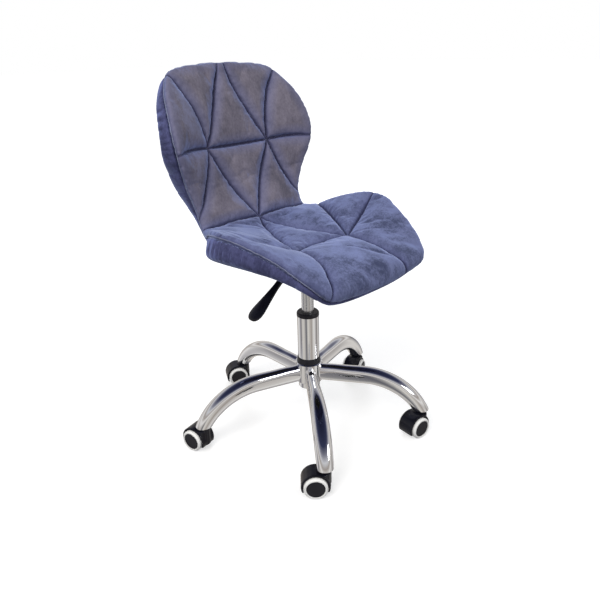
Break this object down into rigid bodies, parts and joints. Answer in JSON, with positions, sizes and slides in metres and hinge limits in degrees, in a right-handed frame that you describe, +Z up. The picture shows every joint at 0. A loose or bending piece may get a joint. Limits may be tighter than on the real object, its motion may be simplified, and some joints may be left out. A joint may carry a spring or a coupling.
{
  "type": "swivel task chair",
  "caption": "Small armless swivel chair: quilted velvet one-piece winged seat and back on a gas lift with a lever, over a chromed star base on twin-wheel castors.",
  "frame": {"origin": "on the floor, on the axis of the lift column", "axes": "+Z up along the lift column, the chair faces -Y, the lever is on the -X side"},
  "size_m": [0.5541, 0.5556, 0.816],
  "materials": {
    "velvet_pad": "brushed velvet, slate blue-grey",
    "velvet_cover": "brushed velvet, darker at the sides",
    "plywood": "moulded plywood, unfinished",
    "zinc_steel": "zinc plated",
    "black_steel": "black powder coat",
    "cylinder_steel": "ground and polished",
    "chrome": "bright chrome plate",
    "black_plastic": "fine moulded grain",
    "black_gloss_plastic": "smooth moulded nylon",
    "white_tyre": "pale soft polyurethane tread",
    "rubber": "matt"
  },
  "bodies": {
    "base": {"outer_column": "chrome", "guide_bush": "black_plastic", "thrust_bearing": "zinc_steel", "base_hub": "chrome", "hub_ring": "black_plastic", "stem_sockets": "zinc_steel", "base_arm_1": "chrome", "base_arm_2": "chrome", "base_arm_3": "chrome", "base_arm_4": "chrome", "base_arm_5": "chrome"},
    "gas_rod": {"piston_rod": "cylinder_steel", "piston_head": "zinc_steel", "retaining_clip": "zinc_steel", "rubber_buffer": "rubber"},
    "seat": {"gas_cylinder": "cylinder_steel", "cylinder_gland": "black_steel", "taper_socket": "black_steel", "mechanism_plate": "black_steel", "mechanism_channel": "black_steel", "lever_pin": "zinc_steel", "plate_bolts": "black_steel", "t_nuts": "zinc_steel", "shell_board": "plywood", "outer_cover": "velvet_cover", "seat_pad": "velvet_pad"},
    "lever": {"lever_rod": "black_steel", "lever_grip": "black_gloss_plastic"},
    "release": {"release_pin": "zinc_steel"},
    "castor_1": {"castor_1_hood": "black_gloss_plastic", "castor_1_stem_and_axle": "zinc_steel"},
    "castor_1_left_roller": {"castor_1_left_wheel": "black_plastic", "castor_1_left_tyre": "white_tyre"},
    "castor_1_right_roller": {"castor_1_right_wheel": "black_plastic", "castor_1_right_tyre": "white_tyre"},
    "castor_2": {"castor_2_hood": "black_gloss_plastic", "castor_2_stem_and_axle": "zinc_steel"},
    "castor_2_left_roller": {"castor_2_left_wheel": "black_plastic", "castor_2_left_tyre": "white_tyre"},
    "castor_2_right_roller": {"castor_2_right_wheel": "black_plastic", "castor_2_right_tyre": "white_tyre"},
    "castor_3": {"castor_3_hood": "black_gloss_plastic", "castor_3_stem_and_axle": "zinc_steel"},
    "castor_3_left_roller": {"castor_3_left_wheel": "black_plastic", "castor_3_left_tyre": "white_tyre"},
    "castor_3_right_roller": {"castor_3_right_wheel": "black_plastic", "castor_3_right_tyre": "white_tyre"},
    "castor_4": {"castor_4_hood": "black_gloss_plastic", "castor_4_stem_and_axle": "zinc_steel"},
    "castor_4_left_roller": {"castor_4_left_wheel": "black_plastic", "castor_4_left_tyre": "white_tyre"},
    "castor_4_right_roller": {"castor_4_right_wheel": "black_plastic", "castor_4_right_tyre": "white_tyre"},
    "castor_5": {"castor_5_hood": "black_gloss_plastic", "castor_5_stem_and_axle": "zinc_steel"},
    "castor_5_left_roller": {"castor_5_left_wheel": "black_plastic", "castor_5_left_tyre": "white_tyre"},
    "castor_5_right_roller": {"castor_5_right_wheel": "black_plastic", "castor_5_right_tyre": "white_tyre"}
  },
  "joints": [
    {"name": "seat_swivel", "type": "hinge", "parent": "base", "child": "gas_rod", "pos_m": [0, 0, 0.1], "axis": [0, 0, 1], "continuous": true},
    {"name": "seat_lift", "type": "slide", "parent": "gas_rod", "child": "seat", "axis": [0, 0, 1], "range_m": [-0.048, 0.06]},
    {"name": "lever_lift", "type": "hinge", "parent": "seat", "child": "lever", "pos_m": [-0.038, 0, 0.3945], "axis": [0, 1, 0], "range_deg": [0, 6], "stiffness_Nm_per_rad": 6, "springref_deg": -2.86},
    {"name": "release_press", "type": "slide", "parent": "seat", "child": "release", "axis": [0, 0, -1], "range_m": [0, 0.0042]},
    {"name": "castor_1_swivel", "type": "hinge", "parent": "base", "child": "castor_1", "pos_m": [-0.16686, -0.20458, 0.06], "axis": [0, 0, 1], "continuous": true},
    {"name": "castor_1_left_roll", "type": "hinge", "parent": "castor_1", "child": "castor_1_left_roller", "pos_m": [-0.18112, -0.19057, 0.025], "axis": [-0.7009, -0.7133, 0], "continuous": true},
    {"name": "castor_1_right_roll", "type": "hinge", "parent": "castor_1", "child": "castor_1_right_roller", "pos_m": [-0.18112, -0.19057, 0.025], "axis": [-0.7009, -0.7133, 0], "continuous": true},
    {"name": "castor_2_swivel", "type": "hinge", "parent": "base", "child": "castor_2", "pos_m": [0.14301, -0.22191, 0.06], "axis": [0, 0, 1], "continuous": true},
    {"name": "castor_2_left_roll", "type": "hinge", "parent": "castor_2", "child": "castor_2_left_roller", "pos_m": [0.12323, -0.21895, 0.025], "axis": [-0.1478, -0.989, 0], "continuous": true},
    {"name": "castor_2_right_roll", "type": "hinge", "parent": "castor_2", "child": "castor_2_right_roller", "pos_m": [0.12323, -0.21895, 0.025], "axis": [-0.1478, -0.989, 0], "continuous": true},
    {"name": "castor_3_swivel", "type": "hinge", "parent": "base", "child": "castor_3", "pos_m": [0.25524, 0.06744, 0.06], "axis": [0, 0, 1], "continuous": true},
    {"name": "castor_3_left_roll", "type": "hinge", "parent": "castor_3", "child": "castor_3_left_roller", "pos_m": [0.23651, 0.06043, 0.025], "axis": [0.3502, -0.9367, 0], "continuous": true},
    {"name": "castor_3_right_roll", "type": "hinge", "parent": "castor_3", "child": "castor_3_right_roller", "pos_m": [0.23651, 0.06043, 0.025], "axis": [0.3502, -0.9367, 0], "continuous": true},
    {"name": "castor_4_swivel", "type": "hinge", "parent": "base", "child": "castor_4", "pos_m": [0.01474, 0.26359, 0.06], "axis": [0, 0, 1], "continuous": true},
    {"name": "castor_4_left_roll", "type": "hinge", "parent": "castor_4", "child": "castor_4_left_roller", "pos_m": [-0.0025, 0.27374, 0.025], "axis": [-0.5075, -0.8616, 0], "continuous": true},
    {"name": "castor_4_right_roll", "type": "hinge", "parent": "castor_4", "child": "castor_4_right_roller", "pos_m": [-0.0025, 0.27374, 0.025], "axis": [-0.5075, -0.8616, 0], "continuous": true},
    {"name": "castor_5_swivel", "type": "hinge", "parent": "base", "child": "castor_5", "pos_m": [-0.24613, 0.09547, 0.06], "axis": [0, 0, 1], "continuous": true},
    {"name": "castor_5_left_roll", "type": "hinge", "parent": "castor_5", "child": "castor_5_left_roller", "pos_m": [-0.25046, 0.11499, 0.025], "axis": [-0.9763, -0.2164, 0], "continuous": true},
    {"name": "castor_5_right_roll", "type": "hinge", "parent": "castor_5", "child": "castor_5_right_roller", "pos_m": [-0.25046, 0.11499, 0.025], "axis": [-0.9763, -0.2164, 0], "continuous": true}
  ],
  "couplings": [
    {"joint": "release_press", "follows": "lever_lift", "m_per_rad": 0.0395}
  ]
}
